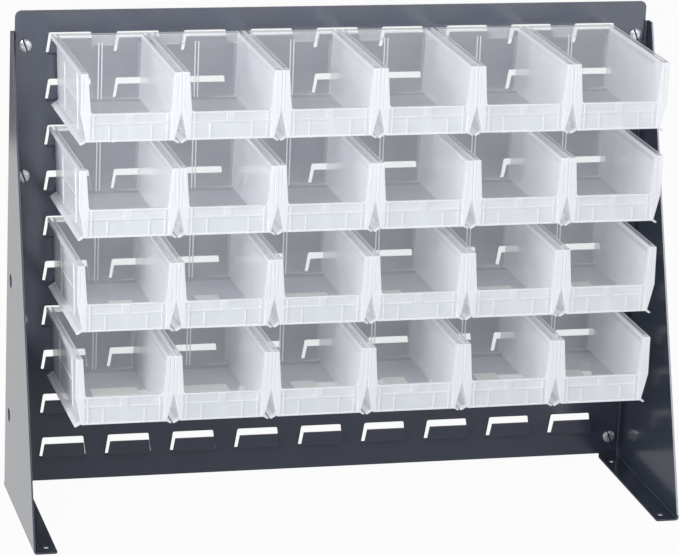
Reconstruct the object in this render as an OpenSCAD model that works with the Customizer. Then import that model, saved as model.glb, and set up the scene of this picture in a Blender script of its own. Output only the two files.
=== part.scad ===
// Bench rack: a louvred steel panel on two folded side brackets, hung with clear plastic bins.
// Millimetres. X runs to the right, Y to the back, Z up from the bench top.
// Inside the modules Y = 0 is the front face of the panel; seat() moves that face so that the
// origin sits under the middle of the whole rack.

/* [Louvred panel] */
// Thickness of the panel sheet
sheet = 1.5; // [1.2:0.1:1.8]
// Spacing of the louvre rows
louvre_pitch_z = 50.8; // [48:0.1:56]
// Width of each punched opening at its top
opening_w = 45.4; // [38:0.1:46.5]
// Width of each punched opening at its foot
opening_foot_w = 51.4; // [47:0.1:53]
// Height of each punched opening
opening_h = 21.7; // [20:0.1:24]
// Width of the slits beside a louvre
slit_w = 1.5; // [1.2:0.1:2.4]
// Height of a louvre above the foot of its opening
louvre_top = 17; // [15:0.1:18]
// Gap between the sheet and a louvre, just above its foot
louvre_out = 6; // [4.5:0.1:6.5]
// Forward lean of a louvre above its foot, in degrees
louvre_lean = 6.5; // [3:0.5:9]
// Sheet drawn forward below an opening to form the foot of its louvre
louvre_draw = 2.2; // [1.5:0.1:3]
// Height of the knee of a louvre above the foot of its opening
louvre_knee = 0.9; // [0.5:0.1:2]
// Radius at the top corners of an opening
opening_r = 2; // [1:0.1:3]
// Sheet beside the outermost bins
panel_margin = 38.05; // [30:0.05:60]
// Sheet beside the middle of the outermost louvre column
panel_side = 59.3; // [50:0.1:70]
// Sheet above the top row of openings
panel_above = 24.2; // [12:0.1:40]
// Sheet below the top of the lowest row of openings
panel_below = 50.1; // [40:0.1:60]
// Height of the lower edge of the panel above the bench
panel_lift = 6.4; // [5:0.1:15]
// Radius of the corners of the panel
panel_corner_r = 7; // [3:0.5:12]

/* [Side brackets] */
// Thickness of the bracket sheet
bracket_sheet = 1.9; // [1.5:0.1:2.5]
// Gap between the edge of the panel and the side plate
bracket_gap = 3.1; // [2:0.1:6]
// Height of the panel above the top of the side plates
bracket_below_top = 21.9; // [10:0.1:40]
// Depth of a side plate in front of the panel, at the bench
bracket_reach = 202; // [195:1:240]
// Depth of a side plate in front of the panel, at its top
bracket_top_reach = 8; // [5:1:25]
// Width of the back flange and of the foot
flange_w = 25.4; // [22:0.1:32]
// Outer radius of the folds
fold_r = 3.4; // [3:0.1:5]
// Radius of the front corner of a foot and of a side plate
bracket_corner_r = 3; // [2:0.5:10]
// Holes in a foot, as a share of its width from the outer side
foot_hole_share = 0.62; // [0.5:0.01:0.7]
// Diameter of the holes in the feet
foot_hole_d = 7; // [5:0.1:8]
// Distance from the panel face forward to the rear foot hole
foot_hole_rear = 15; // [10:1:40]
// Distance from the front of a foot back to the front foot hole
foot_hole_front = 16; // [10:1:40]
// Diameter of the holes in a side plate
side_hole_d = 15; // [8:0.5:18]
// Height of the lower hole in a side plate
side_hole_z = 94; // [80:1:120]
// Spacing of the holes in a side plate
side_hole_spacing = 152.4; // [100:0.1:180]
// Distance of these holes in front of the panel
side_hole_reach = 25; // [18:1:40]

/* [Screws and nuts] */
// Diameter of the screw shank
screw_d = 6; // [5:0.1:6.5]
// Diameter of the screw head
head_d = 14; // [11:0.1:15]
// Height of the screw head
head_h = 3.6; // [3:0.1:4.5]
// Domed part of the screw head, as a share of its height
crown_share = 0.45; // [0.2:0.05:0.6]
// Width of the driver slot
slot_w = 1.5; // [1:0.1:2]
// Depth of the driver slot
slot_depth = 1.6; // [1:0.1:2]
// Turn of the driver slots from level, in degrees
slot_turn = 70; // [0:5:175]
// Width across the flats of a nut
nut_af = 11; // [10:0.1:12]
// Height of a nut
nut_h = 5.4; // [4:0.1:6]
// Thread showing past a nut
screw_end = 1.6; // [0:0.1:4]
// Distance of the screws from the edge of the panel
screw_inset = 11; // [10.5:0.1:15]
// Height of the lowest screws
screw_low_z = 27; // [24:1:36]
// Distance of the highest screws below the top of the side plates
screw_below_top = 16; // [12:1:40]
// Second screws, as a share of the way from the lowest to the highest
screw_second_share = 0.353; // [0.3:0.001:0.4]
// Third screws, as a share of the same way
screw_third_share = 0.696; // [0.6:0.001:0.75]
// Bevel at the tip of a screw
screw_bevel = 0.6; // [0.3:0.1:1]
// Play round a screw in its holes
screw_play = 0.3; // [0.2:0.05:0.5]

/* [Bins] */
// Width of a bin over its rims
bin_w = 104.4; // [98:0.1:108]
// Gap between the rims of neighbouring bins
bin_gap = 0.5; // [0.4:0.1:3]
// Length of a bin from the hanger to the front
bin_len = 190; // [180:1:196]
// Height of a bin from the rim to the stacking rails
bin_h = 76.2; // [70:0.1:78]
// Thickness of the walls and the floor
bin_wall = 2; // [1.6:0.1:2.4]
// Height of the rim
rim_h = 4; // [3.5:0.1:5]
// Overhang of the rim outside the side walls
rim_out = 5; // [4.5:0.1:6]
// Lean of each side wall, as a change in half width from rim to floor
side_taper = 2.4; // [1:0.1:3]
// Thickness of the hanger over the top of a louvre
hanger_t = 3.3; // [2.8:0.1:4]
// Thickness of the lip behind a louvre
lip_t = 1.7; // [1.4:0.1:2.5]
// Height of the lip below the rim
lip_drop = 13.4; // [9:0.1:15]
// Height of the front wall below the rim
front_drop = 41.8; // [34:0.1:45]
// Width of a front post
post_w = 7.4; // [6.5:0.1:8]
// Depth of a front post from front to back
post_d = 9; // [7:0.5:12]
// Lean of the inner side of a front post
post_taper = 3; // [2:0.1:4]
// Bevel on the top front edge of a rim
rim_bevel = 3.2; // [1.5:0.1:3.4]
// Depth of the stacking rails under the floor
rail_drop = 4.4; // [3:0.1:5]
// Reach of the stacking rails outside the side walls
rail_out = 7; // [4:0.1:7.4]
// Distance of the front ends of the rails behind the front
rail_setback = 6; // [2.5:0.5:10]
// Thickness of a stacking rail
rail_t = 1.9; // [1.5:0.1:2.2]
// Distance of the end ribs of the front wall from the corner
label_inset = 1; // [0.5:0.1:3]
// Gap between the two ribs at each end of the front wall
end_rib_gap = 3.6; // [2.5:0.1:6]
// Width of the tab in the middle of the front wall
tab_w = 8.5; // [6:0.1:12]
// Radius where the lip of the front wall meets a post
lip_r = 3; // [1.5:0.1:5]
// Width of the groove in the front of a post
groove_w = 1.6; // [1:0.1:2]
// Depth of that groove
groove_depth = 0.6; // [0.4:0.1:0.8]
// Rear upright of the frame on a side wall, as a share of the way to the front
frame_rear_share = 0.26; // [0.15:0.01:0.4]
// Front upright of that frame, as a share of the same way
frame_front_share = 0.7; // [0.6:0.01:0.85]
// Upper level rib of that frame, as a share of the way down
frame_upper_share = 0.22; // [0.15:0.01:0.3]
// Lower level rib of that frame, as a share of the way down
frame_lower_share = 0.55; // [0.4:0.01:0.6]
// Top of the label frame, as a share of the front wall from its lip
label_share = 0.4; // [0.3:0.05:0.6]
// How far a moulded rib stands out from its wall
rib_h = 0.9; // [0.6:0.1:1.2]
// Width of a moulded rib
rib_w = 1.4; // [1:0.1:2]
// Gap between the two ribs that hold a lengthwise divider
divider_slot = 2.2; // [1.5:0.1:3]
// Tilt of a hanging bin, front up, in degrees
hang_tilt = 0.8; // [0:0.1:1.5]

/* [Label cards] */
// Length of a card
card_len = 50.8; // [40:0.1:56]
// Width of a card
card_w = 25.4; // [20:0.1:30]
// Thickness of a card
card_t = 0.5; // [0.4:0.05:0.8]

/* [Clearances] */
// Play between a bin and the louvre that carries it
hang_gap = 0.4; // [0.3:0.05:0.5]
// Seat between pieces that are clamped or lie on each other
seat_gap = 0.05; // [0.03:0.01:0.1]

/* [Hidden] */
$fn = 48;
// Overlap that makes joined shapes one solid
weld = 0.1;

louvre_cols = 9;
louvre_rows = 10;
bin_cols = 6;
bin_rows = 4;
louvre_rows_per_bin = 2;

bin_pitch = bin_w + bin_gap;
function bin_x(col) = (col - (bin_cols + 1) / 2) * bin_pitch;

panel_w = bin_cols * bin_pitch - bin_gap + 2 * panel_margin;
louvre_pitch_x = (panel_w - 2 * panel_side) / (louvre_cols - 1);
lowest_opening_top = panel_lift + panel_below;
panel_top = lowest_opening_top + (louvre_rows - 1) * louvre_pitch_z + panel_above;
function opening_top(row) = lowest_opening_top + (louvre_rows - row) * louvre_pitch_z;
function opening_x(col) = (col - (louvre_cols + 1) / 2) * louvre_pitch_x;

// How much each side of an opening spreads for each millimetre down
opening_flare = (opening_foot_w - opening_w) / 2 / opening_h;
// The rear face of a louvre rises from a knee in front of the sheet, and leans forward from there.
louvre_rear_knee = louvre_knee + sheet;
louvre_rear_top = louvre_out + (louvre_top - louvre_rear_knee) * tan(louvre_lean);
louvre_reach = louvre_rear_top + sheet * cos(louvre_lean);

plate_x = panel_w / 2 + bracket_gap;
rack_w = 2 * (plate_x + bracket_sheet);
flange_front = sheet + seat_gap;
flange_rear = flange_front + bracket_sheet;
screw_x = panel_w / 2 - screw_inset;
bracket_h = panel_top - bracket_below_top;
screw_rise = bracket_h - screw_below_top - screw_low_z;
screw_shares = [0, screw_second_share, screw_third_share, 1];
screw_heights = [for (share = screw_shares) screw_low_z + share * screw_rise];
screw_hole_d = screw_d + 2 * screw_play;
screw_tip = flange_rear + seat_gap + nut_h + screw_end;
foot_hole_x = plate_x + bracket_sheet - flange_w * foot_hole_share;
foot_holes = [foot_hole_rear, bracket_reach - foot_hole_front];

// The underside of the hanger rests on the top edge of its louvre.
function bin_rim_z(row) =
    opening_top(1 + (row - 1) * louvre_rows_per_bin) - opening_h + louvre_top + seat_gap + hanger_t;
bin_back = louvre_reach + 2 * hang_gap;
bin_front = hang_gap + bin_len;
wall_top_x = bin_w / 2 - rim_out;
wall_low_x = wall_top_x - side_taper;
floor_under = bin_h - rail_drop;
floor_z = floor_under - bin_wall;
// The rails of neighbouring bins stay apart, so a rail reaches no further out than the rim.
rail_x = min(wall_low_x + rail_out, bin_w / 2);
post_inner_x = bin_w / 2 - post_w;
post_low_x = wall_low_x + rib_w / 2;
wall_run = bin_front - bin_back;
frame_rear = bin_back + frame_rear_share * wall_run;
frame_front = bin_back + frame_front_share * wall_run;
frame_upper = frame_upper_share * bin_h;
frame_lower = frame_lower_share * bin_h;
divider_x = (divider_slot + rib_w) / 2;
label_line = front_drop + label_share * (floor_under - front_drop);
label_x = wall_low_x - label_inset;
label_split_x = label_x / 2;

// A card lies across its bin or along it: [bin row, bin column, turn, sideways, behind the front].
cards = [
    [2, 1, 0, 6, 86],
    [2, 2, 0, 8, 84],
    [2, 4, 90, 8, 74],
    [2, 5, 90, 0, 76],
    [3, 1, 90, 12, 76],
    [3, 2, 90, 2, 84],
    [3, 3, 0, 4, 92],
    [3, 4, 90, -6, 78],
    [3, 5, 0, 2, 92],
    [3, 6, 90, 2, 84],
    [4, 1, 0, 8, 98],
    [4, 2, 0, 2, 96],
    [4, 3, 90, 6, 82],
    [4, 4, 90, 4, 82],
    [4, 5, 90, 4, 82],
    [4, 6, 90, -4, 82]
];

// A tilted bin reaches furthest forward at the foot of its front wall.
bin_nose = bin_front * cos(hang_tilt) + floor_under * sin(hang_tilt);
front_depth = max(bracket_reach, bin_nose);
panel_face_y = (front_depth - screw_tip) / 2;

function bin_name(row, col) = str("bin_row", row, "_col", col);
function card_name(card) = str("label_card_row", card[0], "_col", card[1]);
bin_names = [for (row = [1:bin_rows], col = [1:bin_cols]) bin_name(row, col)];
card_names = [for (card = cards) card_name(card)];

// Puts a piece drawn about the panel face into the frame of the whole rack.
module seat() {
    translate([0, panel_face_y, 0]) children();
}

// Extrudes an outline drawn in X and Z, from one distance in front of the panel to another.
module run_forward(from, to) {
    translate([0, -from, 0]) rotate([90, 0, 0]) linear_extrude(to - from) children();
}

// Extrudes an outline drawn in Y and Z sideways, from one X to another.
module run_sideways(from, to) {
    translate([from, 0, 0]) rotate([90, 0, 90]) linear_extrude(to - from) children();
}

module both_sides() {
    children();
    mirror([1, 0, 0]) children();
}

// A rectangle with four round corners, its lower left corner at the origin.
module round_rectangle(size, r) {
    for (x = [r, size[0] - r], y = [r, size[1] - r]) translate([x, y]) circle(r);
    translate([r, 0]) square([size[0] - 2 * r, size[1]]);
    translate([0, r]) square([size[0], size[1] - 2 * r]);
}

// A punched opening: round at its top corners, flared below, with a round end to each slit.
module opening_outline() {
    end_r = slit_w / 2;
    shoulder_x = opening_w / 2 + opening_flare * opening_r;
    polygon([
        [-shoulder_x, -opening_r],
        [-opening_w / 2 + opening_r, -opening_r],
        [-opening_w / 2 + opening_r, 0],
        [opening_w / 2 - opening_r, 0],
        [opening_w / 2 - opening_r, -opening_r],
        [shoulder_x, -opening_r],
        [opening_foot_w / 2, -opening_h + end_r],
        [-opening_foot_w / 2, -opening_h + end_r]
    ]);
    for (side = [-1, 1]) {
        translate([side * (shoulder_x - opening_r), -opening_r]) circle(opening_r);
        translate([side * (opening_foot_w / 2 - end_r), -opening_h + end_r]) circle(end_r);
    }
    translate([-opening_foot_w / 2 + end_r, -opening_h])
        square([opening_foot_w - 2 * end_r, end_r + weld]);
}

// A louvre in Y and Z, from the foot of its opening: drawn forward to a knee, then nearly upright.
module louvre_profile() {
    polygon([
        [weld, -louvre_draw],
        [weld, 0],
        [0, 0],
        [-louvre_out, louvre_rear_knee],
        [-louvre_rear_top, louvre_top],
        [-louvre_reach, louvre_top - sheet * sin(louvre_lean)],
        [-louvre_out - sheet, louvre_knee],
        [0, -louvre_draw]
    ]);
}

// The louvre keeps the flare of its opening, with a slit on each side.
module louvre() {
    foot_x = opening_foot_w / 2 - slit_w;
    spread = opening_flare * louvre_draw;
    intersection() {
        translate([0, 0, -opening_h])
            run_sideways(-opening_foot_w / 2, opening_foot_w / 2) louvre_profile();
        run_forward(-sheet, louvre_reach + weld) polygon([
            [-foot_x - spread, -opening_h - louvre_draw],
            [foot_x + spread, -opening_h - louvre_draw],
            [foot_x - opening_flare * opening_h, 0],
            [-foot_x + opening_flare * opening_h, 0]
        ]);
    }
}

module panel_outline() {
    difference() {
        translate([-panel_w / 2, panel_lift])
            round_rectangle([panel_w, panel_top - panel_lift], panel_corner_r);
        for (row = [1:louvre_rows], col = [1:louvre_cols])
            translate([opening_x(col), opening_top(row)]) opening_outline();
        for (side = [-1, 1], z = screw_heights) translate([side * screw_x, z]) circle(d = screw_hole_d);
    }
}

module louvred_panel() {
    color("slategray") seat() {
        run_forward(-sheet, 0) panel_outline();
        for (row = [1:louvre_rows], col = [1:louvre_cols])
            translate([opening_x(col), 0, opening_top(row)]) louvre();
    }
}

// The side plate seen from the side: upright at the back, slanted in front.
module side_plate_outline() {
    r = bracket_corner_r;
    difference() {
        polygon([
            [-flange_rear, 0],
            [bracket_reach, 0],
            [bracket_reach, r],
            [bracket_top_reach + r, bracket_h],
            [-flange_rear, bracket_h]
        ]);
        translate([-flange_rear, bracket_h - r]) difference() {
            square(r);
            translate([r, 0]) circle(r);
        }
        for (step = [0, 1]) translate([side_hole_reach, side_hole_z + step * side_hole_spacing])
            circle(d = side_hole_d);
    }
}

// A fold: two legs of sheet at a right angle with a round outside corner at the origin.
module fold_outline(first_leg, second_leg) {
    r = fold_r;
    difference() {
        union() {
            translate([r, r]) circle(r);
            translate([0, r]) square([bracket_sheet, second_leg - r]);
            translate([r, 0]) square([first_leg - r, bracket_sheet]);
        }
        translate([r, r]) circle(r - bracket_sheet);
        translate([r, bracket_sheet]) square(r);
        translate([bracket_sheet, r]) square(r);
    }
}

// The bracket on the right: a side plate whose back edge and lower edge are folded inwards.
module bracket() {
    outer_x = plate_x + bracket_sheet;
    foot_front = bracket_reach;
    difference() {
        union() {
            intersection() {
                translate([outer_x, flange_rear, fold_r]) rotate(180) linear_extrude(bracket_h)
                    fold_outline(flange_w, foot_front + flange_rear);
                run_sideways(0, outer_x) mirror([1, 0]) side_plate_outline();
            }
            translate([outer_x, flange_rear, 0]) rotate([90, 0, 0]) linear_extrude(foot_front + flange_rear)
                mirror([1, 0]) fold_outline(flange_w, fold_r + bracket_sheet);
            // The corner between the back flange and the foot is welded shut.
            translate([outer_x - flange_w, flange_front, bracket_sheet - weld])
                cube([flange_w - fold_r, bracket_sheet, fold_r - bracket_sheet + 2 * weld]);
        }
        for (z = screw_heights) translate([screw_x, flange_rear + weld, z]) rotate([90, 0, 0])
            cylinder(d = screw_hole_d, h = bracket_sheet + 2 * weld);
        for (reach = foot_holes)
            translate([foot_hole_x, -reach, -weld]) cylinder(d = foot_hole_d, h = bracket_sheet + 2 * weld);
        // The inner front corner of the foot is round.
        translate([outer_x - flange_w, -foot_front, -weld]) linear_extrude(bracket_sheet + 2 * weld)
            difference() {
                square(bracket_corner_r);
                translate([bracket_corner_r, bracket_corner_r]) circle(bracket_corner_r);
            }
    }
}

module left_bracket() {
    color("gray") seat() mirror([1, 0, 0]) bracket();
}

module right_bracket() {
    color("gray") seat() bracket();
}

// A pan head screw along Y: its head stands on the front face of the panel.
module screw() {
    crown = head_h * crown_share;
    difference() {
        rotate([90, 0, 0]) rotate_extrude() polygon([
            [0, -screw_tip],
            [screw_d / 2 - screw_bevel, -screw_tip],
            [screw_d / 2, -screw_tip + screw_bevel],
            [screw_d / 2, seat_gap],
            [head_d / 2, seat_gap],
            [head_d / 2, head_h - crown],
            [head_d * 3 / 8, head_h - crown / 3],
            [head_d / 4, head_h],
            [0, head_h]
        ]);
        rotate([0, slot_turn, 0]) translate([-head_d, -head_h - weld, -slot_w / 2])
            cube([2 * head_d, slot_depth + weld, slot_w]);
    }
}

module nut() {
    translate([0, flange_rear + seat_gap + nut_h, 0]) rotate([90, 0, 0]) difference() {
        cylinder(d = nut_af / cos(30), h = nut_h, $fn = 6);
        translate([0, 0, -weld]) cylinder(d = screw_d + 2 * seat_gap, h = nut_h + 2 * weld);
    }
}

module at_screws() {
    for (side = [-1, 1], z = screw_heights) translate([side * screw_x, 0, z]) children();
}

module panel_screws() {
    color("silver") seat() at_screws() screw();
}

module panel_nuts() {
    color("silver") seat() at_screws() nut();
}

// One side of a bin in X and Z, from the middle of the rim bead down to the stacking rail.
module side_wall_outline() {
    polygon([
        [wall_top_x - bin_wall, 0],
        [wall_top_x, 0],
        [wall_low_x, -floor_under],
        [wall_low_x - bin_wall, -floor_under]
    ]);
}

module rim_outline() {
    polygon([
        [wall_top_x - bin_wall, 0],
        [bin_w / 2, 0],
        [bin_w / 2, -rim_h],
        [bin_w / 2 - bin_wall, -rim_h],
        [wall_top_x - weld, -rim_h * 0.6],
        [wall_top_x - bin_wall, -rim_h * 0.6]
    ]);
}

// The rail flares outwards under the floor, so that it straddles the rim of a bin below it.
module rail_outline() {
    polygon([
        [wall_low_x - bin_wall, -floor_under],
        [wall_low_x - weld, -floor_under + rail_t],
        [rail_x, -bin_h + rail_t * 0.7],
        [rail_x, -bin_h],
        [rail_x - rail_t, -bin_h]
    ]);
}

module post_outline() {
    polygon([
        [post_inner_x, 0],
        [bin_w / 2, 0],
        [bin_w / 2, -front_drop],
        [post_low_x, -floor_under],
        [post_low_x - bin_wall, -floor_under],
        [post_inner_x - post_taper, -front_drop]
    ]);
}

// The hanger in Y and Z: back wall top, bridge over the louvre, and the lip behind it.
module hanger_outline() {
    polygon([
        [-bin_back - bin_wall, 0],
        [-hang_gap, 0],
        [-hang_gap, -lip_drop],
        [-hang_gap - lip_t, -lip_drop],
        [-hang_gap - lip_t, -hanger_t],
        [-bin_back, -hanger_t],
        [-bin_back - bin_wall, -hanger_t - bin_wall]
    ]);
}

// A rib on the outside of a side wall: upright, following the lean of the wall.
module side_rib(reach) {
    lean = side_taper / floor_under;
    run_forward(reach, reach + rib_w) polygon([
        [wall_top_x - weld - rim_h * lean, -rim_h],
        [wall_top_x + rib_h - rim_h * lean, -rim_h],
        [wall_low_x + rib_h, -floor_under + rail_t],
        [wall_low_x - weld, -floor_under + rail_t]
    ]);
}

// A level rib on the outside of a side wall, between the two upright ones.
module frame_rib(drop) {
    x = wall_top_x - side_taper * drop / floor_under;
    run_forward(frame_rear, frame_front) translate([x - bin_wall / 2, -drop])
        square([bin_wall / 2 + rib_h, rib_w]);
}

// The front wall: a raised frame for a label below, a tab above it, and two ribs at each end.
module front_wall() {
    wall_h = floor_under - front_drop;
    face = bin_front - rib_h;
    run_forward(face - bin_wall, face) {
        translate([-post_inner_x, -floor_under]) square([2 * post_inner_x, wall_h]);
        lip_corners();
    }
    run_forward(face - weld, bin_front) {
        for (z = [-floor_under, -label_line, -front_drop - rib_w])
            translate([-label_x, z]) square([2 * label_x, rib_w]);
        translate([-tab_w / 2, -label_line]) square([tab_w, label_line - front_drop]);
        for (side = [-1, 1]) {
            for (x = [label_x - rib_w / 2, label_x - rib_w * 1.5 - end_rib_gap])
                translate([side * x - rib_w / 2, -floor_under]) square([rib_w, wall_h]);
            translate([side * label_split_x - rib_w / 2, -floor_under])
                square([rib_w, floor_under - label_line]);
        }
    }
}

// The round corners where the lip of the front wall meets the posts.
module lip_corners() {
    x = post_inner_x - post_taper - lip_r;
    both_sides() translate([x, -front_drop - weld]) difference() {
        square([lip_r + weld, lip_r + weld]);
        translate([0, lip_r + weld]) circle(lip_r);
    }
}

// Two ribs that hold the edge of a lengthwise divider.
module divider_ribs(from, to, top) {
    for (side = [-1, 1]) run_forward(from, to) translate([side * divider_x - rib_w / 2, -floor_z - weld])
        square([rib_w, floor_z + weld - top]);
}

module bin() {
    back_face = bin_back + bin_wall;
    front_face = bin_front - rib_h - bin_wall;
    difference() {
        union() {
            both_sides() {
                run_forward(bin_back, bin_front - post_d + weld) side_wall_outline();
                run_forward(bin_back, bin_front) rim_outline();
                run_forward(bin_back, bin_front - rail_setback) rail_outline();
                run_forward(bin_front - post_d, bin_front) post_outline();
                side_rib(frame_rear);
                side_rib(frame_front - rib_w);
                frame_rib(frame_upper);
                frame_rib(frame_lower);
            }
            run_forward(bin_back, bin_front - bin_wall) translate([-wall_low_x + weld, -floor_under])
                square([2 * (wall_low_x - weld), bin_wall]);
            run_forward(bin_back, bin_back + bin_wall) translate([-wall_low_x + weld, -floor_under])
                square([2 * (wall_low_x - weld), floor_under]);
            run_sideways(-bin_w / 2, bin_w / 2) hanger_outline();
            front_wall();
            divider_ribs(back_face - weld, back_face + rib_h, rim_h * 2);
            divider_ribs(front_face - rib_h, front_face + weld, front_drop);
        }
        // Each post has a groove down its front.
        for (side = [-1, 1]) run_forward(bin_front - groove_depth, bin_front + weld)
            translate([side * (bin_w / 2 - post_w / 2) - groove_w / 2, -front_drop])
                square([groove_w, front_drop - rim_h]);
        // The rims are bevelled where they end at the front.
        translate([-bin_w, -bin_front, 0]) rotate([45, 0, 0])
            cube([2 * bin_w, rim_bevel * sqrt(2), rim_bevel * sqrt(2)], center = false);
    }
}

// Hangs a bin, or what lies in it, on its louvre row: a little front up, as the lip has play.
module hang(row, col) {
    seat() translate([bin_x(col), 0, bin_rim_z(row)]) rotate([-hang_tilt, 0, 0]) children();
}

module hung_bin(row, col) {
    color("whitesmoke", 0.6) hang(row, col) bin();
}

// A blank card lying on the floor of a bin.
module label_card(card) {
    color("ivory") hang(card[0], card[1])
        translate([card[3], card[4] - bin_front, seat_gap - floor_z])
        rotate(card[2]) translate([-card_len / 2, -card_w / 2, 0]) cube([card_len, card_w, card_t]);
}

louvred_panel();
left_bracket();
right_bracket();
panel_screws();
panel_nuts();
for (row = [1:bin_rows], col = [1:bin_cols])
    hung_bin(row, col);
for (card = cards)
    label_card(card);
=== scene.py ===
# The looks of a bench rack: a louvred steel panel on two folded brackets, hung with clear bins.
# Metres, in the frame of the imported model: X to the right, Y to the back, Z up from the bench top.
import math

import bpy
from mathutils import Matrix, Vector

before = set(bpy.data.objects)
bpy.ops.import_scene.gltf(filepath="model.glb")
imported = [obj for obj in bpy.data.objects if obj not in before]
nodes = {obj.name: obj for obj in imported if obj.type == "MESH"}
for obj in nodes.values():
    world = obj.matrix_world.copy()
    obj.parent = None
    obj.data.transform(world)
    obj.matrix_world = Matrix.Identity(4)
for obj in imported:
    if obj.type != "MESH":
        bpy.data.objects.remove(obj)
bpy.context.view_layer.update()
scene = bpy.context.scene
scene.view_settings.view_transform = "Standard"

# Camera
# A long lens stands in front of the rack, to its left and above it, with a slight tilt.
# The image is 679 pixels wide.
azimuth = math.radians(-14.74)
elevation = math.radians(17.05)
tilt = math.radians(2.41)
aim = Vector((0.01423, 0.09575, 0.2289))
distance = 3.848
focal_length_in_widths = 3468.3 / 679

back = Vector((
    math.sin(azimuth) * math.cos(elevation),
    -math.cos(azimuth) * math.cos(elevation),
    math.sin(elevation),
))
level_side = (-back).cross(Vector((0, 0, 1))).normalized()
level_up = level_side.cross(-back)
camera_side = level_side * math.cos(tilt) + level_up * math.sin(tilt)
camera_up = level_up * math.cos(tilt) - level_side * math.sin(tilt)

camera = bpy.data.objects.new("camera", bpy.data.cameras.new("camera"))
camera.data.lens = focal_length_in_widths * camera.data.sensor_width
turned = Matrix((camera_side, camera_up, back)).transposed().to_4x4()
camera.matrix_world = Matrix.Translation(aim + back * distance) @ turned
scene.collection.objects.link(camera)
scene.camera = camera

# Louvred panel
# One steel sheet with rows of louvres punched and bent forward, under a dark slate powder coat.
# The coat has a fine orange peel, clouds a little over the sheet and is thin on the cut edges;
# the eased edges are painted lighter, partly for the thin coat and partly as a painted highlight.
panel_paint_colour = (0.034, 0.042, 0.066, 1)
panel_haze_colour = (0.044, 0.053, 0.080, 1)
edge_thin_coat_and_highlight_colour = (0.080, 0.089, 0.116, 1)
panel_edge_round = 0.00035
panel_peel_scale = 700.0
paint_cloud_scale = 5.0
paint_speck_scale = 2600.0
paint_roughness = (0.15, 0.24)
paint_ior = 1.65
paint_mirror_tint = (0.88, 0.91, 1.0, 1)
paint_gloss_share = 0.35
paint_gloss_roughness = 0.12
peel_strength = 0.15
peel_depth = 0.0002
weld_distance = 0.00001
flat_angle = math.radians(0.5)
sharp_angle = math.radians(35)


def add_node(tree, kind, **settings):
    """Adds a shader node and sets its properties."""
    node = tree.nodes.new(kind)
    for name, value in settings.items():
        setattr(node, name, value)
    return node


def noise(tree, place, scale, detail=2.0, roughness=0.5):
    """A noise texture on the given coordinates; returns its grey output."""
    texture = add_node(tree, "ShaderNodeTexNoise")
    tree.links.new(place, texture.inputs["Vector"])
    for name, value in (("Scale", scale), ("Detail", detail), ("Roughness", roughness)):
        if hasattr(value, "links"):
            tree.links.new(value, texture.inputs[name])
        else:
            texture.inputs[name].default_value = value
    return texture.outputs["Fac"]


def spread(tree, value, low, high, to_low, to_high):
    """Maps a grey value from one range to another, clamped."""
    ramp = add_node(tree, "ShaderNodeMapRange", clamp=True)
    tree.links.new(value, ramp.inputs["Value"])
    for name, number in (("From Min", low), ("From Max", high), ("To Min", to_low), ("To Max", to_high)):
        ramp.inputs[name].default_value = number
    return ramp.outputs["Result"]


def mix_colours(tree, share, first, second):
    """Mixes two colours, each a socket or four numbers, by a socket."""
    mixer = add_node(tree, "ShaderNodeMix", data_type="RGBA")
    tree.links.new(share, mixer.inputs["Factor"])
    for socket, colour in ((mixer.inputs[6], first), (mixer.inputs[7], second)):
        if hasattr(colour, "links"):
            tree.links.new(colour, socket)
        else:
            socket.default_value = colour
    return mixer.outputs[2]


def new_group(name, inputs, outputs):
    """An empty shader node group with named sockets; returns the group and its two end nodes."""
    group = bpy.data.node_groups.new(name, "ShaderNodeTree")
    for socket_name, kind, value in inputs:
        socket = group.interface.new_socket(socket_name, in_out="INPUT", socket_type=kind)
        if value is not None:
            socket.default_value = value
    for socket_name, kind in outputs:
        group.interface.new_socket(socket_name, in_out="OUTPUT", socket_type=kind)
    return group, add_node(group, "NodeGroupInput"), add_node(group, "NodeGroupOutput")


powder_coat, coat_in, coat_out = new_group(
    "powder_coat",
    [
        ("Place", "NodeSocketVector", None),
        ("Paint", "NodeSocketColor", None),
        ("Haze", "NodeSocketColor", None),
        ("Peel Scale", "NodeSocketFloat", panel_peel_scale),
    ],
    [("Colour", "NodeSocketColor"), ("Roughness", "NodeSocketFloat"), ("Peel", "NodeSocketFloat")],
)
place = coat_in.outputs["Place"]
clouds = noise(powder_coat, place, paint_cloud_scale, detail=4.0)
peel = noise(powder_coat, place, coat_in.outputs["Peel Scale"])
specks = noise(powder_coat, place, paint_speck_scale, detail=1.0)
cloud_share = spread(powder_coat, clouds, 0.3, 0.75, 0.0, 0.55)
clouded = mix_colours(powder_coat, cloud_share, coat_in.outputs["Paint"], coat_in.outputs["Haze"])
speck_share = spread(powder_coat, specks, 0.62, 0.8, 0.0, 0.35)
speckled = mix_colours(powder_coat, speck_share, clouded, coat_in.outputs["Haze"])
powder_coat.links.new(speckled, coat_out.inputs["Colour"])
coat_roughness = spread(powder_coat, peel, 0.3, 0.7, *paint_roughness)
powder_coat.links.new(coat_roughness, coat_out.inputs["Roughness"])
powder_coat.links.new(peel, coat_out.inputs["Peel"])


def new_material(name):
    """A material with its Principled shader and the object coordinates that its patterns read."""
    material = bpy.data.materials.new(name)
    material.use_nodes = True
    tree = material.node_tree
    shader = tree.nodes["Principled BSDF"]
    return material, tree, shader, add_node(tree, "ShaderNodeTexCoord").outputs["Object"]


def place_group(tree, group, place, **values):
    """Places a node group on the given coordinates with its own values."""
    placed = add_node(tree, "ShaderNodeGroup", node_tree=group)
    tree.links.new(place, placed.inputs["Place"])
    for name, value in values.items():
        placed.inputs[name.replace("_", " ")].default_value = value
    return placed.outputs


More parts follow.
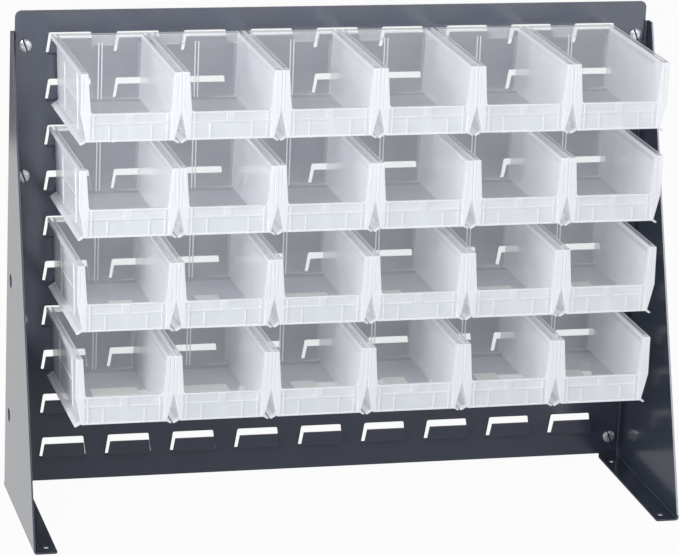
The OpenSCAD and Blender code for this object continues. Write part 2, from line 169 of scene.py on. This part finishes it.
def bump(tree, height, shader, strength, depth):
    """Feeds a height into the normal of a shader."""
    node = add_node(tree, "ShaderNodeBump")
    node.inputs["Strength"].default_value = strength
    node.inputs["Distance"].default_value = depth
    tree.links.new(height, node.inputs["Height"])
    tree.links.new(node.outputs["Normal"], shader.inputs["Normal"])


def coated_steel(name, paint, haze, peel_scale=panel_peel_scale):
    """Powder coated steel sheet."""
    material, tree, shader, place = new_material(name)
    coat = place_group(tree, powder_coat, place, Paint=paint, Haze=haze, Peel_Scale=peel_scale)
    tree.links.new(coat["Colour"], shader.inputs["Base Color"])
    tree.links.new(coat["Roughness"], shader.inputs["Roughness"])
    shader.inputs["IOR"].default_value = paint_ior
    shader.inputs["Specular IOR Level"].default_value = 1.0
    shader.inputs["Specular Tint"].default_value = paint_mirror_tint
    shader.inputs["Coat Weight"].default_value = paint_gloss_share
    shader.inputs["Coat Roughness"].default_value = paint_gloss_roughness
    bump(tree, coat["Peel"], shader, peel_strength, peel_depth)
    return material


def dress(piece, *materials):
    """Gives a piece its materials, the first for its faces and a second for its eased edges."""
    piece.data.materials.clear()
    for material in materials:
        piece.data.materials.append(material)


def ease_edges(piece, width, edge_material=-1, measure="ABSOLUTE"):
    """Rounds the sharp edges of a piece as tooling or a coat of paint does."""
    merge = piece.modifiers.new("merge", "WELD")
    merge.merge_threshold = weld_distance
    flatten = piece.modifiers.new("flatten", "DECIMATE")
    flatten.decimate_type = "DISSOLVE"
    flatten.angle_limit = flat_angle
    rounding = piece.modifiers.new("rounding", "BEVEL")
    rounding.width = width
    rounding.segments = 2
    rounding.offset_type = measure
    rounding.limit_method = "ANGLE"
    rounding.angle_limit = sharp_angle
    rounding.use_clamp_overlap = False
    rounding.material = edge_material
    shade = piece.modifiers.new("shade", "WEIGHTED_NORMAL")
    shade.weight = 100


panel_coat = coated_steel("panel_coat", panel_paint_colour, panel_haze_colour)
# The eased edges are painted lighter: a thinner coat and a painted highlight.
panel_edge_thin_coat_and_highlight = coated_steel("panel_edge_thin_coat_and_highlight", panel_haze_colour, edge_thin_coat_and_highlight_colour)
dress(nodes["louvred_panel"], panel_coat, panel_edge_thin_coat_and_highlight)
ease_edges(nodes["louvred_panel"], panel_edge_round, edge_material=1, measure="OFFSET")

# Side brackets
# Two folded steel sheets, each with a back flange and a foot, under the same coat as the panel.
# They are screwed to the back of the panel and stand on the bench.
bracket_paint_colour = (0.030, 0.038, 0.058, 1)
bracket_haze_colour = (0.040, 0.048, 0.072, 1)
bracket_edge_round = 0.0004
bracket_peel_scale = 620.0

bracket_coat = coated_steel("bracket_coat", bracket_paint_colour, bracket_haze_colour, bracket_peel_scale)
# The eased edges are painted lighter: a thinner coat and a painted highlight.
bracket_edge_thin_coat_and_highlight = coated_steel(
    "bracket_edge_thin_coat_and_highlight", bracket_haze_colour, edge_thin_coat_and_highlight_colour, bracket_peel_scale)
for name in ("left_bracket", "right_bracket"):
    dress(nodes[name], bracket_coat, bracket_edge_thin_coat_and_highlight)
    ease_edges(nodes[name], bracket_edge_round, edge_material=1)

# Screws and nuts
# Slotted pan head screws and hexagon nuts of steel, bright zinc plated with a faint blue cast.
# The screws pass through the panel and the back flanges, and the nuts hold them behind.
# The driver slots are painted dark as shade in the recess.
zinc_light_colour = (0.82, 0.84, 0.86, 1)
zinc_dull_colour = (0.55, 0.57, 0.62, 1)
slot_shade_colour = (0.035, 0.036, 0.040, 1)
screw_edge_round = 0.0002
screw_x = 0.3415
screw_heights = (0.027, 0.194, 0.3562, 0.5)
head_radius = 0.0072
slot_half_width = 0.0008
slot_turn = math.radians(70)
zinc_stain_scale = 260.0
zinc_scuff_scale = 1900.0
zinc_roughness = (0.18, 0.38)
zinc_metal_share = 0.7
zinc_scuff_strength = 0.2
zinc_scuff_depth = 0.00005


def figure(tree, operation, first, second=None, third=None):
    """Works out one number from others, each a socket or a plain number."""
    node = add_node(tree, "ShaderNodeMath", operation=operation)
    for socket, value in zip(node.inputs, (first, second, third)):
        if hasattr(value, "links"):
            tree.links.new(value, socket)
        elif value is not None:
            socket.default_value = value
    return node.outputs["Value"]


def in_slot(tree, place):
    """A mask that is 1 in the driver slot of every screw."""
    along = add_node(tree, "ShaderNodeSeparateXYZ")
    tree.links.new(place, along.inputs["Vector"])
    aside = figure(tree, "WRAP", figure(tree, "SUBTRACT", along.outputs["X"], screw_x), screw_x, -screw_x)
    across = figure(tree, "MULTIPLY", aside, math.sin(slot_turn))
    mask = 0.0
    for height in screw_heights:
        above = figure(tree, "SUBTRACT", along.outputs["Z"], height)
        off_slot = figure(tree, "MULTIPLY_ADD", above, math.cos(slot_turn), across)
        beside = figure(tree, "COMPARE", off_slot, 0.0, slot_half_width)
        on_head = figure(tree, "COMPARE", above, 0.0, head_radius)
        mask = figure(tree, "MULTIPLY_ADD", beside, on_head, mask)
    return mask


zinc, tree, shader, place = new_material("zinc_plate")
stain = noise(tree, place, zinc_stain_scale, detail=3.0)
scuff = noise(tree, place, zinc_scuff_scale)
stained = mix_colours(tree, spread(tree, stain, 0.35, 0.7, 0.0, 1.0), zinc_light_colour, zinc_dull_colour)
# The slots are painted dark: painted shade in the recess.
slotted = mix_colours(tree, in_slot(tree, place), stained, slot_shade_colour)
tree.links.new(slotted, shader.inputs["Base Color"])
tree.links.new(spread(tree, scuff, 0.3, 0.7, *zinc_roughness), shader.inputs["Roughness"])
shader.inputs["Metallic"].default_value = zinc_metal_share
bump(tree, scuff, shader, zinc_scuff_strength, zinc_scuff_depth)
for name in ("panel_screws", "panel_nuts"):
    dress(nodes[name], zinc)
    ease_edges(nodes[name], screw_edge_round)

# Bins
# Each bin is one moulding of milky clear polypropylene that hooks over a louvre by its hanger.
# Thin walls let the panel show through, more so where they are seen square on. The front wall is
# textured. Posts, rims, rails and other thick places hide more of the panel, and their whiter colour
# is a painted glow; the eased edges carry painted white highlights, and a strip at the back of each
# floor is painted as shade.
bin_colour = (0.84, 0.865, 0.925, 1)
bin_cloud_colour = (0.88, 0.90, 0.95, 1)
bin_front_colour = (0.82, 0.853, 0.918, 1)
# The front edge colour is a painted highlight on the eased edges of the front wall.
bin_front_edge_highlight_colour = (0.84, 0.868, 0.925, 1)
# This white is a painted glow on the thick places and a painted highlight on the eased edges.
bin_glow_white_colour = (0.87, 0.893, 0.94, 1)
bin_edge_round = 0.00062
bin_half_pitch = 0.05245
bin_row_pitch = 0.1016
top_rim_z = 0.51235
panel_face_y = 0.09575
hang_tilt = math.radians(0.8)
back_wall_y = 0.0838
post_rear_y = -0.0855
post_side = 0.0112
rim_depth = 0.0042
rim_side = 0.0078
rim_line = 0.0022
rim_share = 0.45
rail_share = 0.5
rail_line = 0.0020
front_wall_rear_y = -0.0915
front_wall_side = 0.0108
lip_drop = 0.0434
foot_drop = 0.0700
floor_drop = 0.0698
rail_drop = 0.0722
rail_foot_drop = 0.0762
shaded_band_depth = 0.0140
wall_cover = 0.42
side_rear_share = 1.0
side_front_share = 1.6
back_share = 0.8
shaded_band_share = 0.72
front_cover = 0.72
thick_cover = 0.90
edge_cover = 0.96
side_edge_cover = 0.5
front_edge_cover = 0.80
far_edge_share = 0.6
soak_share = 0.8
least_square_on = 0.35
above_rim_share = 0.05
back_wall_margin = 0.001
floor_margin = 0.0010
corner_height = 0.0020
side_front_gap = 0.0025
side_rear_overlap = 0.0030
side_top_drop = 2.0 * rim_depth
side_wall_side = 1.1 * post_side
fine_blur = 0.0002
sharp_blur = 0.0004
soft_blur = 0.0006
flow_scale = 16.0
flow_cover = (0.95, 1.04)
ripple_scale = 240.0
ripple_strength = 0.15
ripple_depth = 0.0003
plastic_roughness = (0.14, 0.26)


def past(tree, value, edge, blur):
    """A mask that is 1 past an edge: above it, or below it where the blur is negative."""
    return spread(tree, value, edge, edge + blur, 0.0, 1.0)


def both(tree, first, *others):
    """The part that all the masks share."""
    for other in others:
        first = figure(tree, "MULTIPLY", first, other)
    return first


def either(tree, first, *others):
    """The part that any of the masks covers."""
    for other in others:
        first = figure(tree, "MAXIMUM", first, other)
    return first


def fade(tree, mask, outside, inside):
    """Goes from one number to another with a mask."""
    change = figure(tree, "SUBTRACT", inside, outside)
    return figure(tree, "MULTIPLY_ADD", mask, change, outside)


milky_plastic, milk_in, milk_out = new_group(
    "milky_plastic",
    [
        ("Place", "NodeSocketVector", None),
        ("Clear", "NodeSocketColor", None),
        ("Cloud", "NodeSocketColor", None),
        ("Front", "NodeSocketColor", None),
        ("White", "NodeSocketColor", None),
        ("Cover", "NodeSocketFloat", 0.5),
        ("Side Cover", "NodeSocketFloat", 0.5),
        ("Front Cover", "NodeSocketFloat", 0.5),
        ("Thick Cover", "NodeSocketFloat", 0.5),
    ],
    [
        ("Colour", "NodeSocketColor"),
        ("Cover", "NodeSocketFloat"),
        ("Roughness", "NodeSocketFloat"),
        ("Ripple", "NodeSocketFloat"),
    ],
)
tree = milky_plastic
place = milk_in.outputs["Place"]
flow = noise(tree, place, flow_scale, detail=4.0, roughness=0.6)
ripple = noise(tree, place, ripple_scale)
flow_share = spread(tree, flow, 0.3, 0.7, 0.0, 1.0)
# Where a point lies in its own bin: in from the side, and down from the tilted rim.
along = add_node(tree, "ShaderNodeSeparateXYZ")
tree.links.new(place, along.inputs["Vector"])
y = along.outputs["Y"]
from_side = figure(tree, "PINGPONG", along.outputs["X"], bin_half_pitch)
forward = figure(tree, "SUBTRACT", panel_face_y, y)
tilted_rim = figure(tree, "MULTIPLY_ADD", forward, math.sin(hang_tilt), top_rim_z)
below_top_rim = figure(tree, "SUBTRACT", tilted_rim, along.outputs["Z"])
below_rim = figure(
    tree, "WRAP", below_top_rim,
    (1 - above_rim_share) * bin_row_pitch, -above_rim_share * bin_row_pitch)
in_front = past(tree, y, front_wall_rear_y, -sharp_blur)
at_back = past(tree, y, back_wall_y - back_wall_margin, sharp_blur)
under_lip = past(tree, below_rim, lip_drop, soft_blur)
over_foot = past(tree, below_rim, foot_drop, -soft_blur)
on_panel = both(
    tree, in_front, past(tree, from_side, front_wall_side, soft_blur), under_lip, over_foot)
post = both(tree, past(tree, y, post_rear_y, -sharp_blur), past(tree, from_side, post_side, -soft_blur))
rim = both(tree, past(tree, below_rim, rim_depth, -sharp_blur),
           past(tree, from_side, rim_side, -soft_blur))
# Painted highlight lines along both sides of each rim and along the lower edge of each rail.
rim_middle = both(tree, past(tree, from_side, rim_line, fine_blur),
                  past(tree, from_side, rim_side - rim_line, -fine_blur))
rim_glow = figure(tree, "MULTIPLY", rim, figure(tree, "SUBTRACT", 1.0, rim_middle))
front_rim = both(tree, in_front, figure(tree, "SUBTRACT", 1.0, both(tree, under_lip, over_foot)))
rail = past(tree, below_rim, rail_drop, sharp_blur)
rail_edge = past(tree, below_rim, rail_foot_drop - rail_line, fine_blur)
rail_glow = figure(tree, "MULTIPLY", rail, fade(tree, rail_edge, rail_share, 1.0))
between_ends = both(tree, past(tree, y, post_rear_y + side_front_gap, sharp_blur),
                    past(tree, y, back_wall_y + side_rear_overlap, -sharp_blur))
between_rims = both(tree, past(tree, below_rim, side_top_drop, soft_blur),
                    past(tree, below_rim, floor_drop - floor_margin, -soft_blur))
on_side = both(tree, past(tree, from_side, side_wall_side, -soft_blur), between_ends, between_rims)
corner = both(tree, at_back, past(tree, below_rim, floor_drop - corner_height, sharp_blur))
thick_and_glowing = either(tree, post, front_rim, rail_glow, corner, rim_glow)
# A band at the back of each floor lets more of the dark panel show through: painted shade.
shaded_band = both(tree, past(tree, below_rim, floor_drop - floor_margin, sharp_blur),
           past(tree, y, back_wall_y - shaded_band_depth, sharp_blur))
thin_share = both(tree, fade(tree, at_back, 1.0, back_share), fade(tree, shaded_band, 1.0, shaded_band_share),
                  fade(tree, rim, 1.0, rim_share))
thin_cover = figure(tree, "MULTIPLY", milk_in.outputs["Cover"], thin_share)
forward_gain = spread(tree, y, back_wall_y, post_rear_y, side_rear_share, side_front_share)
gained_cover = figure(tree, "MULTIPLY", milk_in.outputs["Side Cover"], forward_gain)
side_cover = fade(tree, on_side, thin_cover, gained_cover)
flat_cover = fade(tree, on_panel, side_cover, milk_in.outputs["Front Cover"])
whole_cover = fade(tree, thick_and_glowing, flat_cover, milk_in.outputs["Thick Cover"])
clouded_cover = figure(tree, "MULTIPLY", whole_cover, spread(tree, flow, 0.3, 0.7, *flow_cover))
milk = mix_colours(tree, flow_share, milk_in.outputs["Clear"], milk_in.outputs["Cloud"])
faced = mix_colours(tree, on_panel, milk, milk_in.outputs["Front"])
# The thick places are painted white: their own milkiness and a painted glow.
whitened = mix_colours(tree, thick_and_glowing, faced, milk_in.outputs["White"])
tree.links.new(whitened, milk_out.inputs["Colour"])
tree.links.new(clouded_cover, milk_out.inputs["Cover"])
tree.links.new(spread(tree, ripple, 0.3, 0.7, *plastic_roughness), milk_out.inputs["Roughness"])
tree.links.new(ripple, milk_out.inputs["Ripple"])


def moulded_plastic(name, far_share, **values):
    """Milky clear plastic: a wall hides more of what is behind it the more it is seen edge on."""
    material, tree, shader, place = new_material(name)
    milk = place_group(tree, milky_plastic, place, White=bin_glow_white_colour, **values)
    tree.links.new(milk["Colour"], shader.inputs["Base Color"])
    tree.links.new(milk["Roughness"], shader.inputs["Roughness"])
    bump(tree, milk["Ripple"], shader, ripple_strength, ripple_depth)
    edge_on = add_node(tree, "ShaderNodeLayerWeight").outputs["Facing"]
    square_on = figure(tree, "MAXIMUM", figure(tree, "SUBTRACT", 1.0, edge_on), least_square_on)
    thickness = figure(tree, "DIVIDE", 1.0, square_on)
    let_through = figure(tree, "POWER", figure(tree, "SUBTRACT", 1.0, milk["Cover"]), thickness)
    hidden = figure(tree, "SUBTRACT", 1.0, let_through)
    # Each wall has two faces, and the near one counts more. Light soaks through the milk.
    backfacing = add_node(tree, "ShaderNodeNewGeometry").outputs["Backfacing"]
    near_side = fade(tree, backfacing, 1.0, far_share)
    rays = add_node(tree, "ShaderNodeLightPath").outputs
    soaking = figure(tree, "MAXIMUM", rays["Is Shadow Ray"], rays["Is Diffuse Ray"])
    held_back = figure(tree, "MULTIPLY_ADD", soaking, -soak_share, 1.0)
    seen = figure(tree, "MULTIPLY", hidden, near_side)
    tree.links.new(figure(tree, "MULTIPLY", seen, held_back), shader.inputs["Alpha"])
    return material


bin_plastic = moulded_plastic(
    "bin_plastic", 0.0, Clear=bin_colour, Cloud=bin_cloud_colour, Front=bin_front_colour,
    Cover=wall_cover, Side_Cover=wall_cover, Front_Cover=front_cover, Thick_Cover=thick_cover)
# The eased edges are painted white and more opaque: painted highlight lines.
bin_edge_highlight_plastic = moulded_plastic(
    "bin_edge_highlight_plastic", far_edge_share, Clear=bin_glow_white_colour, Cloud=bin_glow_white_colour,
    Front=bin_front_edge_highlight_colour, Cover=edge_cover, Side_Cover=side_edge_cover,
    Front_Cover=front_edge_cover, Thick_Cover=edge_cover)
for name, piece in nodes.items():
    if name.startswith("bin_"):
        dress(piece, bin_plastic, bin_edge_highlight_plastic)
        ease_edges(piece, bin_edge_round, edge_material=1)
# A line of sight passes many walls.
scene.cycles.transparent_max_bounces = 64

# Label cards
# Blank cards of off-white card stock that lie loose on the floors of the bins.
card_colour = (0.93, 0.93, 0.92, 1)
card_fibre_colour = (0.85, 0.85, 0.84, 1)
card_fibre_scale = 900.0
card_fibre_strength = 0.2
card_fibre_depth = 0.0001
card_roughness = (0.65, 0.85)

card_stock, tree, shader, place = new_material("card_stock")
fibre = noise(tree, place, card_fibre_scale, detail=4.0, roughness=0.7)
fibrous = mix_colours(tree, spread(tree, fibre, 0.35, 0.75, 0.0, 0.6), card_colour, card_fibre_colour)
tree.links.new(fibrous, shader.inputs["Base Color"])
tree.links.new(spread(tree, fibre, 0.3, 0.7, *card_roughness), shader.inputs["Roughness"])
bump(tree, fibre, shader, card_fibre_strength, card_fibre_depth)
for name, piece in nodes.items():
    if name.startswith("label_card"):
        dress(piece, card_stock)

# Studio
# A pale floor that keeps a soft shadow, a white surround, and large soft lamps. The floor glows for
# mirror rays only, a painted reflection in the steel: bright on each side of the rack up to behind it
# and well in front, dim elsewhere, and darkest in front of the rack as painted shade.
floor_size = 16.0
floor_colour = (0.45, 0.45, 0.45, 1)
surround_light = 0.2
surround_mirrored = 0.3
glow_side_x = 0.34
glow_end_y = 1.66
glow_front_y = -1.43
glow_blur = 0.16
beside_glow_strength = 0.8
shaded_floor_mirrored = 0.06
foot_floor_mirrored = 0.24
foot_floor_front_y = -0.45
foot_floor_rear_y = -0.1
glow_side_blur = 0.02
floor_white_share = 0.96
floor_roughness = 0.9

floor_mesh = bpy.data.meshes.new("floor")
half = floor_size / 2
corners = [(-half, -half, 0), (half, -half, 0), (half, half, 0), (-half, half, 0)]
floor_mesh.from_pydata(corners, [], [(0, 1, 2, 3)])
floor = bpy.data.objects.new("floor", floor_mesh)
scene.collection.objects.link(floor)


def seen_share(tree, for_camera, for_mirrors):
    """One share for a ray from the camera or glass, one for a mirror, 0 for a ray that gathers light."""
    rays = add_node(tree, "ShaderNodeLightPath").outputs
    straight = figure(tree, "MAXIMUM", rays["Is Camera Ray"], rays["Is Transmission Ray"])
    mirrored = figure(tree, "MULTIPLY", rays["Is Glossy Ray"], for_mirrors)
    return figure(tree, "MAXIMUM", figure(tree, "MULTIPLY", straight, for_camera), mirrored)


floor_paint, tree, shader, place = new_material("floor_paint")
shader.inputs["Base Color"].default_value = floor_colour
shader.inputs["Roughness"].default_value = floor_roughness
white = add_node(tree, "ShaderNodeEmission")
blend = add_node(tree, "ShaderNodeMixShader")
across = add_node(tree, "ShaderNodeSeparateXYZ")
tree.links.new(place, across.inputs["Vector"])
# Glow that only the steel sees: painted reflection, dark in front of the rack as painted shade.
from_middle = figure(tree, "ABSOLUTE", across.outputs["X"])
beside = past(tree, from_middle, glow_side_x, glow_side_blur)
beside_glow_area = both(tree, beside, past(tree, across.outputs["Y"], glow_end_y, -glow_blur))
beside_glow = figure(tree, "MULTIPLY", beside_glow_area, beside_glow_strength)
front_glow = past(tree, across.outputs["Y"], glow_front_y, -glow_blur)
by_foot = spread(
    tree, across.outputs["Y"], foot_floor_front_y, foot_floor_rear_y,
    shaded_floor_mirrored, foot_floor_mirrored)
mirrored = either(tree, beside_glow, front_glow, by_foot)
tree.links.new(seen_share(tree, 1.0, mirrored), white.inputs["Strength"])
tree.links.new(seen_share(tree, floor_white_share, 1.0), blend.inputs["Fac"])
tree.links.new(shader.outputs["BSDF"], blend.inputs[1])
tree.links.new(white.outputs["Emission"], blend.inputs[2])
tree.links.new(blend.outputs["Shader"], tree.nodes["Material Output"].inputs["Surface"])
floor_mesh.materials.append(floor_paint)

surround = bpy.data.worlds.new("surround")
surround.use_nodes = True
scene.world = surround
tree = surround.node_tree
strength = figure(tree, "MAXIMUM", seen_share(tree, 1.0, surround_mirrored), surround_light)
tree.links.new(strength, tree.nodes["Background"].inputs["Strength"])
tree.nodes["Background"].inputs["Color"].default_value = (1, 1, 1, 1)


def soft_lamp(name, place, aim_at, size, power):
    """A large square lamp that faces a point."""
    lamp = bpy.data.objects.new(name, bpy.data.lights.new(name, "AREA"))
    lamp.data.size = size
    lamp.data.energy = power
    lamp.location = place
    lamp.rotation_euler = (Vector(aim_at) - Vector(place)).to_track_quat("-Z", "Y").to_euler()
    scene.collection.objects.link(lamp)


soft_lamp("key_lamp", (-1.5, -1.8, 2.4), (0, 0, 0.25), 1.4, 38)
soft_lamp("front_lamp", (1.3, -2.7, 1.3), (0, 0, 0.25), 1.8, 35)
soft_lamp("side_lamp", (-2.7, -1.1, 0.9), (0, 0, 0.3), 1.6, 56)
